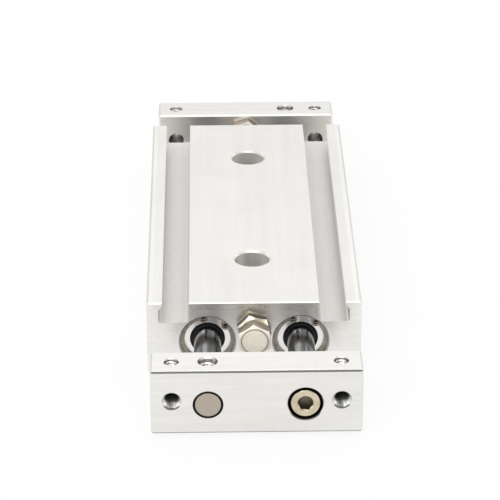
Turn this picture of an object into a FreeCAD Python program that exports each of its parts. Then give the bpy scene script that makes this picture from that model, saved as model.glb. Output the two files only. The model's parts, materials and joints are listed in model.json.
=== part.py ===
import FreeCAD, Part
import math
import os
import Sketcher
from types import SimpleNamespace

# Guided pneumatic cylinder: a twin-bore housing that carries two hollow rods, with an
# end plate across each pair of rod ends. Millimetres, +Z up, rods along Y, origin on the
# mounting surface midway between the two end plates.

# ---------------------------------------------------------------- driving dimensions
SIZES = {
    # housing extrusion
    "housing_length": 134.0,
    "housing_width": 63.2,
    "housing_height": 23.4,
    "base_chamfer": 1.0,
    "rail_chamfer": 0.6,
    "end_chamfer": 0.3,
    "block_width": 38.2,
    "slot_mouth": 7.9,
    "slot_depth": 6.4,
    "slot_undercut": 1.15,
    "slot_lip_drop": 2.4,
    "slot_inner_round": 2.5,
    "slot_outer_round": 0.8,
    # rods and cylinder bores
    "rod_pitch": 27.5,
    "rod_height": 10.6,
    "rod_diameter": 8.0,
    "rod_end_chamfer": 0.35,
    "bore_diameter": 15.0,
    "seat_diameter": 16.0,
    "seat_depth": 34.0,
    "rim_chamfer": 0.5,
    "clip_groove_diameter": 16.8,
    "clip_groove_from_face": 1.2,
    "clip_groove_width": 1.1,
    # end cover set
    "cover_clearance": 0.02,
    "cover_edge": 0.3,
    "seal_pocket_diameter": 10.4,
    "seal_pocket_depth": 3.6,
    "cover_web": 1.4,
    "cover_web_clearance": 0.3,
    "bush_diameter": 10.0,
    "bush_press": 0.01,
    "running_clearance": 0.03,
    "seal_recess": 0.1,
    "cover_ring_section": 1.2,
    "cover_ring_from_face": 16.0,
    "ring_groove_slack": 0.3,
    "ring_clearance": 0.03,
    "bumper_thickness": 2.0,
    "bumper_wall": 2.2,
    "bumper_bore_gap": 0.6,
    # bore retaining clip
    "clip_thickness": 1.0,
    "clip_clearance": 0.05,
    "clip_band": 1.5,
    "clip_ear_radius": 1.3,
    "clip_ear_hole": 1.5,
    # bolt holes through the centre block
    "block_hole_pitch": 76.4,
    "block_hole_shift": 0.8,
    "block_hole_diameter": 6.6,
    "block_sink_diameter": 10.4,
    "block_sink_depth": 6.5,
    "block_sink_chamfer": 0.5,
    "block_hole_chamfer": 0.3,
    # air passages that join the two bores
    "passage_diameter": 3.0,
    "passage_from_chamber_end": 4.0,
    "plug_ball_diameter": 4.0,
    "plug_seat_depth": 5.0,
    "plug_clearance": 0.02,
    # end plates
    "plate_width": 60.0,
    "plate_height": 20.0,
    "plate_thickness": 12.0,
    "plate_ground_gap": 1.3,
    "plate_edge": 0.6,
    "free_travel": 40.0,
    "face_tap_pitch": 48.0,
    "face_tap_rise": 1.2,
    "face_tap_diameter": 5.0,
    "top_tap_pitch": 48.0,
    "top_tap_diameter": 4.0,
    "top_tap_depth": 6.0,
    "tap_chamfer": 0.3,
    "port_diameter": 5.0,
    "port_depth": 4.2,
    "port_drill": 2.2,
    "port_chamfer": 0.45,
    "rod_flare": 0.3,
    "pilot_clearance": 0.03,
    "plate_ring_section": 1.1,
    "plate_ring_from_face": 2.7,
    # rod screws
    "screw_diameter": 5.0,
    "screw_length": 16.0,
    "screw_head_diameter": 8.5,
    "screw_head_height": 5.0,
    "screw_socket_flats": 4.0,
    "screw_socket_depth": 2.5,
    "screw_head_edge": 0.4,
    "screw_sink_diameter": 10.0,
    "screw_sink_depth": 5.2,
    "screw_hole_clearance": 0.15,
    "rod_socket_depth": 3.0,
    "rod_tap_depth": 14.0,
    "thread_clearance": 0.05,
    # rod air way
    "air_bore": 3.0,
    "air_cross_hole": 2.0,
    "air_ring_width": 3.0,
    "air_ring_depth": 0.6,
    "air_hole_from_piston": 3.5,
    "air_end_wall": 3.0,
    "air_ball_diameter": 3.0,
    "air_ball_depth": 17.0,
    # set screws that clamp the flush rod ends
    "clamp_diameter": 4.0,
    "clamp_recess": 0.6,
    "clamp_point_diameter": 2.6,
    "clamp_point_length": 1.0,
    "clamp_socket_flats": 2.0,
    "clamp_socket_depth": 1.8,
    # pistons
    "piston_length": 21.0,
    "piston_clearance": 0.08,
    "piston_rod_fit": 0.02,
    "piston_edge": 0.4,
    "lip_seal_width": 2.6,
    "lip_seal_from_end": 1.8,
    "lip_seal_depth": 2.3,
    "lip_seal_notch": 1.1,
    "magnet_width": 3.4,
    "magnet_depth": 2.0,
    "magnet_wall": 1.9,
    "side_gap": 0.1,
    "rod_clip_thickness": 0.9,
    "rod_clip_depth": 0.4,
    "rod_clip_band": 1.2,
    # stop bolts and lock nuts
    "stop_rise": 4.8,
    "stop_diameter": 6.0,
    "stop_length": 20.0,
    "stop_flats": 9.0,
    "stop_head_height": 4.0,
    "nut_thickness": 3.2,
    "stop_hole_depth": 18.0,
    "front_stop_out": 9.5,
    "rear_stop_out": 13.6,
    "stop_gap": 0.1,
}

# a rod seal's section, as shares of its own wall and depth
SEAL_LIP_SHARE = 0.3
SEAL_ROOT_SHARE = 0.5
SEAL_SHOULDER_SHARE = 0.25
SEAL_NOTCH_SHARE = 0.35

# angles, in degrees; a roll is about the rod direction
CLIP_GAP_HALF_ANGLE = 20.0      # opening of a bore clip, each side of its middle
CLIP_EAR_ANGLE = 29.0           # where each ear stands from the middle of the opening
ROD_CLIP_GAP_HALF_ANGLE = 25.0
CLIP_ROLLS = {("front", "left"): -69.5, ("front", "right"): -80.0,
              ("rear", "left"): -75.0, ("rear", "right"): -105.0}
NUT_ROLLS = {"front": 12.8, "rear": 5.0}
STOP_BOLT_ROLLS = {"front": -7.0, "rear": 12.0}
ROD_SCREW_ROLLS = {"front": 10.0, "rear": 22.0}
HEX_CHAMFER_SLOPE = math.tan(math.radians(30))
HEX_CHAMFER_SHARE = 0.43        # chamfer circle radius on a hexagon, as a share of its flats
DRILL_POINT_SLOPE = 0.6         # cone depth of a drilled hole's end per unit of radius
HEX_CORNER = 1 / math.sqrt(3)   # corner radius of a hexagon per unit across flats
HEX_MARGIN = 0.05               # how far a chamfer cut reaches past the corners, as a share
TOUCHING = 1e-6                 # mm, how close two coordinates are when equal


class Size:
    """A length that keeps its number together with the sheet expression it comes from."""

    def __init__(self, value, text):
        self.value = float(value)
        self.text = text

    def __add__(self, other):
        other = as_size(other)
        return Size(self.value + other.value, f"({self.text} + {other.text})")

    def __radd__(self, other):
        return as_size(other) + self

    def __sub__(self, other):
        other = as_size(other)
        return Size(self.value - other.value, f"({self.text} - {other.text})")

    def __rsub__(self, other):
        return as_size(other) - self

    def __mul__(self, factor):
        return Size(self.value * factor, f"({self.text} * {factor!r})")

    def __truediv__(self, divisor):
        return Size(self.value / divisor, f"({self.text} / {divisor!r})")

    def __neg__(self):
        return Size(-self.value, f"(0 - {self.text})")


def as_size(thing):
    """Wrap a plain number, and pass a Size through."""
    return thing if isinstance(thing, Size) else Size(thing, repr(float(thing)))


doc = FreeCAD.newDocument("GuidedCylinder")
sheet = doc.addObject("Spreadsheet::Sheet", "Sizes")
for row, (alias, number) in enumerate(SIZES.items(), start=1):
    sheet.set(f"A{row}", alias.replace("_", " "))
    sheet.set(f"B{row}", str(number))
    sheet.setAlias(f"B{row}", alias)
doc.recompute()
d = SimpleNamespace(**{alias: Size(number, f"Sizes.{alias}") for alias, number in SIZES.items()})

# ---------------------------------------------------------------- derived places
rod_side = d.rod_pitch / 2                                   # X of the right-hand rod
plate_inner = (d.housing_length + d.free_travel) / 2         # Y of the rear plate's inner face
plate_outer = plate_inner + d.plate_thickness                # Y of the rear plate's outer face
housing_rear = plate_inner - d.rear_stop_out - d.stop_gap
housing_front = housing_rear - d.housing_length
rod_radius = d.rod_diameter / 2
rod_in_plate = d.rod_height - d.plate_ground_gap             # rod axis above a plate's base
stop_height = d.rod_height + d.stop_rise
cover_face = d.clip_groove_from_face + d.clip_groove_width   # depth of a cover's outer face
cover_length = d.seat_depth - cover_face
rod_length = plate_outer + plate_inner + d.rod_socket_depth


# ---------------------------------------------------------------- modelling helpers
sub_parts = []


def bind(thing, path, size):
    """Set a property from the sheet."""
    thing.setExpression(path, as_size(size).text)


def place(thing, x=0.0, y=0.0, z=0.0, turn=0.0, roll=0.0):
    """Put a sub-part in the assembly: roll is about its own Y axis, turn about Z."""
    about_z = FreeCAD.Rotation(FreeCAD.Vector(0, 0, 1), turn)
    about_y = FreeCAD.Rotation(FreeCAD.Vector(0, 1, 0), roll)
    spot = [as_size(part) for part in (x, y, z)]
    thing.Placement = FreeCAD.Placement(
        FreeCAD.Vector(*(part.value for part in spot)), about_z.multiply(about_y))
    for axis, part in zip("xyz", spot):
        bind(thing, f"Placement.Base.{axis}", part)


def register(thing, label):
    """Name a finished sub-part and remember it for export."""
    thing.Label = label
    sub_parts.append(thing)
    return thing


def new_body(label):
    return register(doc.addObject("PartDesign::Body", label), label)


def group(label, members):
    """Put identical pieces in one node, as separate solids."""
    for member in members:
        sub_parts.remove(member)
    node = doc.addObject("Part::Compound", label)
    node.Links = members
    return register(node, label)


def new_sketch(body, name, role="XY_Plane", at=(0.0, 0.0, 0.0)):
    """A sketch on one of the body's own origin planes, moved within that plane's frame."""
    sketch = body.newObject("Sketcher::SketchObject", name)
    plane = next(item for item in body.Origin.OriginFeatures if item.Role == role)
    sketch.AttachmentSupport = [(plane, "")]
    sketch.MapMode = "FlatFace"
    for axis, offset in zip("xyz", at):
        bind(sketch, f"AttachmentOffset.Base.{axis}", offset)
    return sketch


def fix_point(sketch, curve, end, x, y):
    """Hold one point of a curve at distances from the sketch's origin."""
    for kind, size in (("DistanceX", as_size(x)), ("DistanceY", as_size(y))):
        index = sketch.addConstraint(Sketcher.Constraint(kind, curve, end, size.value))
        sketch.setExpression(f"Constraints[{index}]", size.text)


def arc_through(start, end, radius):
    """The shorter arc between two points; a positive radius has its centre on the left."""
    if radius < 0:
        start, end, radius = end, start, -radius
    chord = end - start
    left = FreeCAD.Vector(-chord.y, chord.x, 0).normalize()
    reach = math.sqrt(max(radius * radius - chord.Length ** 2 / 4, 0.0))
    centre = start + chord * 0.5 + left * reach
    first = math.atan2(start.y - centre.y, start.x - centre.x)
    last = math.atan2(end.y - centre.y, end.x - centre.x)
    if last <= first:
        last += 2 * math.pi
    circle = Part.Circle(centre, FreeCAD.Vector(0, 0, 1), radius)
    return Part.ArcOfCircle(circle, first, last)


def outline(sketch, corners):
    """A closed profile: each corner is (x, y), or (x, y, radius) to reach the next by an arc."""
    points = [FreeCAD.Vector(as_size(c[0]).value, as_size(c[1]).value, 0) for c in corners]
    runs = []
    for index, corner in enumerate(corners):
        start, end = points[index], points[(index + 1) % len(points)]
        if len(corner) == 2:
            runs.append((sketch.addGeometry(Part.LineSegment(start, end)), 1, 2))
            continue
        radius = as_size(corner[2])
        curve = sketch.addGeometry(arc_through(start, end, radius.value))
        runs.append((curve, 1, 2) if radius.value > 0 else (curve, 2, 1))
        held = sketch.addConstraint(Sketcher.Constraint("Radius", curve, abs(radius.value)))
        size = radius if radius.value > 0 else -radius
        sketch.setExpression(f"Constraints[{held}]", size.text)
    for index, (curve, first, last) in enumerate(runs):
        following, next_first, _ = runs[(index + 1) % len(runs)]
        sketch.addConstraint(
            Sketcher.Constraint("Coincident", curve, last, following, next_first))
        fix_point(sketch, curve, first, corners[index][0], corners[index][1])


def circles(sketch, spots):
    """Circles given as (x, y, radius)."""
    for x, y, radius in spots:
        x, y, radius = as_size(x), as_size(y), as_size(radius)
        centre = FreeCAD.Vector(x.value, y.value, 0)
        curve = sketch.addGeometry(Part.Circle(centre, FreeCAD.Vector(0, 0, 1), radius.value))
        fix_point(sketch, curve, 3, x, y)
        held = sketch.addConstraint(Sketcher.Constraint("Radius", curve, radius.value))
        sketch.setExpression(f"Constraints[{held}]", radius.text)


def volume_of(body):
    return body.Shape.Volume if body.Shape and not body.Shape.isNull() else 0.0


def add_feature(body, kind, name, sketch, cuts, **settings):
    """Add one feature, and insist that it removes or adds material as it should."""
    doc.recompute()
    before = volume_of(body)
    feature = body.newObject(f"PartDesign::{kind}", name)
    feature.Profile = sketch
    for key, setting in settings.items():
        if isinstance(setting, Size):
            bind(feature, key, setting)
        else:
            setattr(feature, key, setting)
    body.Tip = feature
    doc.recompute()
    change = volume_of(body) - before
    if (change >= 0) if cuts else (change <= 0):
        raise RuntimeError(f"{body.Label}: {name} changed the volume by {change:.3f}")
    return feature


def pad(body, name, sketch, length):
    """Pad a profile towards +Y from an XZ plane."""
    return add_feature(body, "Pad", name, sketch, False, Length=length, Reversed=True)


def turn_profile(body, name, corners, role="XY_Plane", at=(0.0, 0.0, 0.0), cuts=False,
                 axis="V_Axis"):
    """Turn a closed profile round its sketch's axis, as solid or as a cut."""
    sketch = new_sketch(body, f"{name}Profile", role, at)
    outline(sketch, corners)
    kind = "Groove" if cuts else "Revolution"
    return add_feature(body, kind, name, sketch, cuts, ReferenceAxis=(sketch, [axis]),
                       Angle=360.0)


def mirrored_along(corners, length):
    """Extend a half profile, given from one end to the middle, to the other end."""
    return corners + [(x, length - y) for x, y in reversed(corners)]


def hexagon(sketch, flats, point_up=False):
    """A regular hexagon round the sketch's origin."""
    first = 90.0 if point_up else 60.0
    corners = []
    for step in range(6):
        angle = math.radians(first + 60.0 * step)
        corner = flats * HEX_CORNER
        corners.append((corner * round(math.cos(angle), 12), corner * round(math.sin(angle), 12)))
    outline(sketch, corners)


def chamfer_hexagon(body, name, flats, face, inward):
    """Turn off the corners of a hexagon at one face; inward is +1 towards +Y, -1 towards -Y."""
    circle = flats * HEX_CHAMFER_SHARE
    reach = flats * (HEX_CORNER + HEX_MARGIN)
    drop = (reach - circle) * HEX_CHAMFER_SLOPE * inward
    turn_profile(body, name, [(circle, face), (reach, face), (reach, face + drop)], cuts=True)


def torus(label, ring_radius, section):
    """A round-section ring whose axis is its own Z."""
    ring = doc.addObject("Part::Torus", label)
    bind(ring, "Radius1", ring_radius)
    bind(ring, "Radius2", section / 2)
    return register(ring, label)


def place_ring(ring, x, y, z):
    """Seat a torus round an axis that runs along Y."""
    spot = [as_size(part) for part in (x, y, z)]
    ring.Placement = FreeCAD.Placement(
        FreeCAD.Vector(*(part.value for part in spot)),
        FreeCAD.Rotation(FreeCAD.Vector(1, 0, 0), 90))
    for axis, part in zip("xyz", spot):
        bind(ring, f"Placement.Base.{axis}", part)


# ---------------------------------------------------------------- housing
def slot_side(towards_rail):
    """One wall of a sensor slot in section, from its lip down to its floor, for +X."""
    block_edge = d.block_width / 2
    rail_edge = block_edge + d.slot_mouth
    top = d.housing_height
    floor = top - d.slot_depth
    lip_radius = (d.slot_lip_drop * d.slot_lip_drop.value / d.slot_undercut.value
                  + d.slot_undercut) / 2
    if towards_rail:
        wall = rail_edge + d.slot_undercut
        return [
            (rail_edge, top, lip_radius),
            (wall, top - d.slot_lip_drop),
            (wall, floor + d.slot_outer_round, -d.slot_outer_round),
            (wall - d.slot_outer_round, floor),
        ]
    wall = block_edge - d.slot_undercut
    return [
        (wall + d.slot_inner_round, floor, -d.slot_inner_round),
        (wall, floor + d.slot_inner_round),
        (wall, top - d.slot_lip_drop, lip_radius),
        (block_edge, top),
    ]


def housing_section():
    """Closed outline of the extrusion, from the base up the right side and down the left."""
    half = d.housing_width / 2
    top = d.housing_height
    right = [
        (half - d.base_chamfer, as_size(0.0)),
        (half, d.base_chamfer),
        (half, top - d.rail_chamfer),
        (half - d.rail_chamfer, top),
    ]
    right += slot_side(True) + slot_side(False)
    left = []
    for index in range(len(right) - 1, -1, -1):
        x, y = right[index][:2]
        came_by_arc = len(right[index - 1]) == 3 and index > 0
        left.append((-x, y, right[index - 1][2]) if came_by_arc else (-x, y))
    return right + left


def bore_profile():
    """Half section of one cylinder bore with a cover seat and clip groove at each end."""
    seat = d.seat_diameter / 2
    groove = d.clip_groove_diameter / 2
    near = [
        (as_size(0.0), as_size(0.0)),
        (seat + d.rim_chamfer, as_size(0.0)),
        (seat, d.rim_chamfer),
        (seat, d.clip_groove_from_face),
        (groove, d.clip_groove_from_face),
        (groove, cover_face),
        (seat, cover_face),
        (seat, d.seat_depth),
        (d.bore_diameter / 2, d.seat_depth),
    ]
    return mirrored_along(near, d.housing_length)


def chamfer_top_ends(body, extrusion):
    """Break the top edges that cross the two end faces: the block's and both rails'."""
    top = d.housing_height.value
    names = []
    for number, edge in enumerate(extrusion.Shape.Edges):
        ends = [vertex.Point for vertex in edge.Vertexes]
        if all(abs(point.z - top) < TOUCHING for point in ends) and (
                abs(ends[0].y - ends[1].y) < TOUCHING):
            names.append(f"Edge{number + 1}")
    breaks = body.newObject("PartDesign::Chamfer", "EndChamfer")
    breaks.Base = (extrusion, names)
    bind(breaks, "Size", d.end_chamfer)
    body.Tip = breaks


def make_housing():
    body = new_body("housing")
    section = new_sketch(body, "Section", "XZ_Plane")
    outline(section, housing_section())
    chamfer_top_ends(body, pad(body, "Extrusion", section, d.housing_length))
    for side, name in ((-1, "LeftBore"), (1, "RightBore")):
        turn_profile(body, name, bore_profile(), at=(rod_side * side, 0.0, d.rod_height),
                     cuts=True)
    top = d.housing_height
    edge, sink_edge = d.block_hole_chamfer, d.block_sink_chamfer
    sink = d.block_sink_diameter / 2
    hole = d.block_hole_diameter / 2
    for side, name in ((-1, "FrontBlockHole"), (1, "RearBlockHole")):
        along = d.housing_length / 2 + d.block_hole_shift + d.block_hole_pitch / 2 * side
        profile = [
            (0.0, top), (sink + sink_edge, top), (sink, top - sink_edge),
            (sink, top - d.block_sink_depth),
            (hole, top - d.block_sink_depth), (hole, edge), (hole + edge, 0.0), (0.0, 0.0),
        ]
        turn_profile(body, name, profile, "XZ_Plane", at=(0.0, 0.0, -along), cuts=True)
    tap = d.stop_diameter / 2 + d.thread_clearance
    for rear, name in ((False, "FrontStopHole"), (True, "RearStopHole")):
        face = d.housing_length if rear else as_size(0.0)
        sign = -1 if rear else 1
        depths = (as_size(0.0), edge, d.stop_hole_depth,
                  d.stop_hole_depth + tap * DRILL_POINT_SLOPE)
        mouth, below, bottom, tip = (face + depth * sign for depth in depths)
        profile = [(0.0, mouth), (tap + edge, mouth), (tap, below), (tap, bottom), (0.0, tip)]
        turn_profile(body, name, profile, at=(0.0, 0.0, stop_height), cuts=True)
    way = d.passage_diameter / 2
    ball = d.plug_ball_diameter / 2
    span = d.housing_width / 2 + rod_side
    for y, name in ((passage_front, "FrontPassage"), (passage_rear, "RearPassage")):
        profile = [
            (0.0, 0.0), (0.0, way), (span - d.plug_seat_depth, way),
            (span - d.plug_seat_depth, ball), (span, ball), (span, 0.0),
        ]
        turn_profile(body, name, profile, at=(-rod_side, y, d.rod_height), cuts=True,
                     axis="H_Axis")
    place(body, y=housing_front)


passage_front = d.seat_depth + d.passage_from_chamber_end
passage_rear = d.housing_length - passage_front
make_housing()


# ---------------------------------------------------------------- end cover sets
def make_cover(label, x, y, turn):
    """Guide cover that closes one end of a bore."""
    body = new_body(label)
    outer = d.seat_diameter / 2 - d.cover_clearance
    pocket = d.seal_pocket_diameter / 2
    web = rod_radius + d.cover_web_clearance
    bush = d.bush_diameter / 2
    ring_floor = outer - d.cover_ring_section - d.ring_clearance
    ring_half = (d.cover_ring_section + d.ring_groove_slack) / 2
    edge = d.cover_edge
    profile = [
        (pocket, 0.0), (outer - edge, 0.0), (outer, edge),
        (outer, d.cover_ring_from_face - ring_half),
        (ring_floor, d.cover_ring_from_face - ring_half),
        (ring_floor, d.cover_ring_from_face + ring_half),
        (outer, d.cover_ring_from_face + ring_half),
        (outer, cover_length - edge), (outer - edge, cover_length), (bush, cover_length),
        (bush, d.seal_pocket_depth + d.cover_web), (web, d.seal_pocket_depth + d.cover_web),
        (web, d.seal_pocket_depth), (pocket, d.seal_pocket_depth),
    ]
    turn_profile(body, "Cover", profile)
    place(body, x, y, d.rod_height, turn)


def make_bush(label, x, y, turn):
    """Plain guide bush pressed into a cover."""
    body = new_body(label)
    inner = rod_radius + d.running_clearance
    outer = d.bush_diameter / 2 - d.bush_press
    start = d.seal_pocket_depth + d.cover_web
    edge = d.cover_edge
    turn_profile(body, "Bush", [
        (inner + edge, start), (outer - edge, start), (outer, start + edge),
        (outer, cover_length), (inner + edge, cover_length), (inner, cover_length - edge),
        (inner, start + edge),
    ])
    place(body, x, y, d.rod_height, turn)


def make_rod_seal(label, x, y, turn):
    """Lip seal with a wiper edge round the rod, in the mouth of a cover."""
    body = new_body(label)
    inner = rod_radius + d.running_clearance
    outer = d.seal_pocket_diameter / 2 - d.cover_clearance
    wall = outer - inner
    start, end = d.seal_recess, d.seal_pocket_depth
    depth = end - start
    lip_tip, lip_root = inner + wall * SEAL_LIP_SHARE, inner + wall * SEAL_ROOT_SHARE
    shoulder, notch = start + depth * SEAL_SHOULDER_SHARE, end - depth * SEAL_NOTCH_SHARE
    turn_profile(body, "Seal", [
        (inner, start), (lip_tip, start), (lip_root, shoulder), (outer, shoulder),
        (outer, end), (outer - wall * SEAL_LIP_SHARE, end), (lip_root, notch),
        (lip_tip, end), (inner, end),
    ])
    place(body, x, y, d.rod_height, turn)


def make_bumper(label, x, y, turn):
    """Cushion ring on a cover's inner end."""
    body = new_body(label)
    inner = rod_radius + d.bumper_bore_gap
    outer = inner + d.bumper_wall
    start = cover_length
    end = cover_length + d.bumper_thickness
    edge = d.cover_edge
    turn_profile(body, "Bumper", [
        (inner, start), (outer, start), (outer, end - edge), (outer - edge, end),
        (inner + edge, end), (inner, end - edge),
    ])
    place(body, x, y, d.rod_height, turn)


def ring_with_gap(body, outer, inner, half_angle, thickness):
    """A flat open ring about Y whose gap is centred on +X."""
    sketch = new_sketch(body, "Band", "XZ_Plane")
    cos, sin = math.cos(math.radians(half_angle)), math.sin(math.radians(half_angle))
    corners = [
        (outer * cos, outer * sin, outer), (as_size(0.0), outer, outer),
        (-outer, as_size(0.0), outer), (as_size(0.0), -outer, outer),
        (outer * cos, -(outer * sin)),
        (inner * cos, -(inner * sin), -inner), (as_size(0.0), -inner, -inner),
        (-inner, as_size(0.0), -inner), (as_size(0.0), inner, -inner),
        (inner * cos, inner * sin),
    ]
    outline(sketch, corners)
    pad(body, "Ring", sketch, thickness)


def make_clip(label, x, y, turn, roll):
    """Internal retaining clip with two plier ears."""
    body = new_body(label)
    outer = d.clip_groove_diameter / 2 - d.clip_clearance
    ring_with_gap(body, outer, outer - d.clip_band, CLIP_GAP_HALF_ANGLE, d.clip_thickness)
    centre = outer - d.clip_ear_radius - d.clip_clearance
    spots = []
    for side in (-1, 1):
        angle = math.radians(CLIP_EAR_ANGLE) * side
        spots.append((centre * math.cos(angle), centre * math.sin(angle)))
    ears = new_sketch(body, "Ears", "XZ_Plane")
    circles(ears, [(ex, ez, d.clip_ear_radius) for ex, ez in spots])
    pad(body, "EarPads", ears, d.clip_thickness)
    holes = new_sketch(body, "EarHoles", "XZ_Plane")
    circles(holes, [(ex, ez, d.clip_ear_hole / 2) for ex, ez in spots])
    add_feature(body, "Pocket", "EarHolePocket", holes, True, Length=d.clip_thickness)
    place(body, x, y, d.rod_height, turn, roll)
    return body


# ---------------------------------------------------------------- stop bolts and lock nuts
def make_nut(label, y, turn, roll):
    """Thin hexagon nut that locks a stop bolt against the housing."""
    body = new_body(label)
    sketch = new_sketch(body, "Hexagon", "XZ_Plane")
    hexagon(sketch, d.stop_flats)
    pad(body, "Blank", sketch, d.nut_thickness)
    chamfer_hexagon(body, "OuterChamfer", d.stop_flats, as_size(0.0), 1)
    chamfer_hexagon(body, "InnerChamfer", d.stop_flats, d.nut_thickness, -1)
    hole = d.stop_diameter / 2 + d.thread_clearance
    edge = d.cover_edge
    turn_profile(body, "ThreadHole", [
        (0.0, 0.0), (hole + edge, 0.0), (hole, edge), (hole, d.nut_thickness - edge),
        (hole + edge, d.nut_thickness), (0.0, d.nut_thickness),
    ], cuts=True)
    place(body, 0.0, y, stop_height, turn, roll)
    return body


def make_stop_bolt(label, y, turn, roll):
    """Hexagon-head bolt that sets where the end plate stops."""
    body = new_body(label)
    sketch = new_sketch(body, "Hexagon", "XZ_Plane")
    hexagon(sketch, d.stop_flats, point_up=True)
    pad(body, "Head", sketch, d.stop_head_height)
    chamfer_hexagon(body, "HeadChamfer", d.stop_flats, as_size(0.0), 1)
    radius = d.stop_diameter / 2
    end = d.stop_head_height + d.stop_length
    edge = d.block_hole_chamfer
    turn_profile(body, "Shank", [
        (0.0, d.stop_head_height), (radius, d.stop_head_height), (radius, end - edge),
        (radius - edge, end), (0.0, end),
    ])
    place(body, 0.0, y, stop_height, turn, roll)


# ---------------------------------------------------------------- moving frame
def make_plate(label, y, turn):
    """End plate: a flush sealed rod and air port on one side, a screwed rod on the other."""
    body = new_body(label)
    half, tall, thick = d.plate_width / 2, d.plate_height, d.plate_thickness
    section = new_sketch(body, "Face", "XZ_Plane")
    outline(section, [(-half, 0.0), (half, 0.0), (half, tall), (-half, tall)])
    slab = pad(body, "Slab", section, thick)
    edges = body.newObject("PartDesign::Chamfer", "Edges")
    edges.Base = (slab, [f"Edge{number + 1}" for number in range(len(slab.Shape.Edges))])
    bind(edges, "Size", d.plate_edge)
    body.Tip = edges

    pilot = rod_radius + d.pilot_clearance
    ring = d.plate_ring_section + d.ring_clearance
    width = (d.plate_ring_section + d.ring_groove_slack) / 2
    near_ring, far_ring = d.plate_ring_from_face, thick - d.plate_ring_from_face
    turn_profile(body, "FlushRodHole", [
        (0.0, 0.0), (pilot + d.rod_flare, 0.0), (pilot, d.rod_flare),
        (pilot, near_ring - width), (pilot + ring, near_ring - width),
        (pilot + ring, near_ring + width), (pilot, near_ring + width),
        (pilot, far_ring - width), (pilot + ring, far_ring - width),
        (pilot + ring, far_ring + width), (pilot, far_ring + width),
        (pilot, thick), (0.0, thick),
    ], at=(-rod_side, 0.0, rod_in_plate), cuts=True)

    sink = d.screw_sink_diameter / 2
    hole = d.screw_diameter / 2 + d.screw_hole_clearance
    edge = d.tap_chamfer
    turn_profile(body, "ScrewedRodHole", [
        (0.0, 0.0), (sink + edge, 0.0), (sink, edge), (sink, d.screw_sink_depth),
        (hole, d.screw_sink_depth), (hole, thick - d.rod_socket_depth),
        (pilot, thick - d.rod_socket_depth), (pilot, thick), (0.0, thick),
    ], at=(rod_side, 0.0, rod_in_plate), cuts=True)

    tap = d.face_tap_diameter / 2
    for side, name in ((-1, "LeftFaceTap"), (1, "RightFaceTap")):
        turn_profile(body, name, [
            (0.0, 0.0), (tap + edge, 0.0), (tap, edge), (tap, thick - edge),
            (tap + edge, thick), (0.0, thick),
        ], at=(d.face_tap_pitch / 2 * side, 0.0, rod_in_plate + d.face_tap_rise), cuts=True)

    top_tap = d.top_tap_diameter / 2
    for side, name in ((-1, "LeftTopTap"), (1, "RightTopTap")):
        bottom = tall - d.top_tap_depth
        turn_profile(body, name, [
            (0.0, tall), (top_tap + edge, tall), (top_tap, tall - edge), (top_tap, bottom),
            (0.0, bottom - top_tap * (DRILL_POINT_SLOPE / 2)),
        ], "XZ_Plane", at=(d.top_tap_pitch / 2 * side, 0.0, -thick / 2), cuts=True)

    port, drill = d.port_diameter / 2, d.port_drill / 2
    floor = tall - d.port_depth
    turn_profile(body, "AirPort", [
        (0.0, tall), (port + d.port_chamfer, tall), (port, tall - d.port_chamfer),
        (port, floor), (drill, floor), (drill, rod_in_plate), (0.0, rod_in_plate),
    ], "XZ_Plane", at=(-rod_side, 0.0, -thick / 2), cuts=True)
    clamp = d.clamp_diameter / 2
    turn_profile(body, "ClampTap", [
        (0.0, 0.0), (clamp + edge, 0.0), (clamp, edge), (clamp, rod_in_plate),
        (0.0, rod_in_plate),
    ], "XZ_Plane", at=(-rod_side, 0.0, -thick / 2), cuts=True)
    place(body, 0.0, y, d.plate_ground_gap, turn)


def make_rod(label, x, y, turn):
    """Hollow guide rod: flush sealed end at its origin, tapped end at full length."""
    body = new_body(label)
    edge = d.rod_end_chamfer
    port = d.plate_thickness / 2
    air_ring = rod_radius - d.air_ring_depth
    clip_floor = rod_radius - d.rod_clip_depth
    half_piston = d.piston_length / 2
    middle = plate_outer
    air = d.air_bore / 2
    tap = d.screw_diameter / 2 + d.thread_clearance
    clip_width = d.rod_clip_thickness + d.side_gap
    turn_profile(body, "Rod", [
        (0.0, 0.0), (rod_radius - edge, 0.0), (rod_radius, edge),
        (rod_radius, port - d.air_ring_width / 2), (air_ring, port - d.air_ring_width / 2),
        (air_ring, port + d.air_ring_width / 2), (rod_radius, port + d.air_ring_width / 2),
        (rod_radius, middle - half_piston - clip_width),
        (clip_floor, middle - half_piston - clip_width),
        (clip_floor, middle - half_piston), (rod_radius, middle - half_piston),
        (rod_radius, middle + half_piston), (clip_floor, middle + half_piston),
        (clip_floor, middle + half_piston + clip_width),
        (rod_radius, middle + half_piston + clip_width),
        (rod_radius, rod_length - edge), (rod_radius - edge, rod_length), (tap, rod_length),
        (tap, rod_length - d.rod_tap_depth), (air, rod_length - d.rod_tap_depth),
        (air, d.air_end_wall), (0.0, d.air_end_wall - air * DRILL_POINT_SLOPE),
    ])
    holes = new_sketch(body, "AirHoles", "XY_Plane")
    cross = d.air_cross_hole / 2
    chamber_hole = middle - half_piston - d.air_hole_from_piston
    circles(holes, [(0.0, port, cross), (0.0, chamber_hole, cross)])
    add_feature(body, "Pocket", "AirHolePocket", holes, True, Type="ThroughAll", Midplane=True)
    place(body, x, y, d.rod_height, turn)


def make_ball(label, x, y, diameter):
    """Ball pressed into a drilled way to close it."""
    ball = register(doc.addObject("Part::Sphere", label), label)
    bind(ball, "Radius", diameter / 2 - d.plug_clearance)
    place(ball, x, y, d.rod_height)
    return ball


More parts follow.
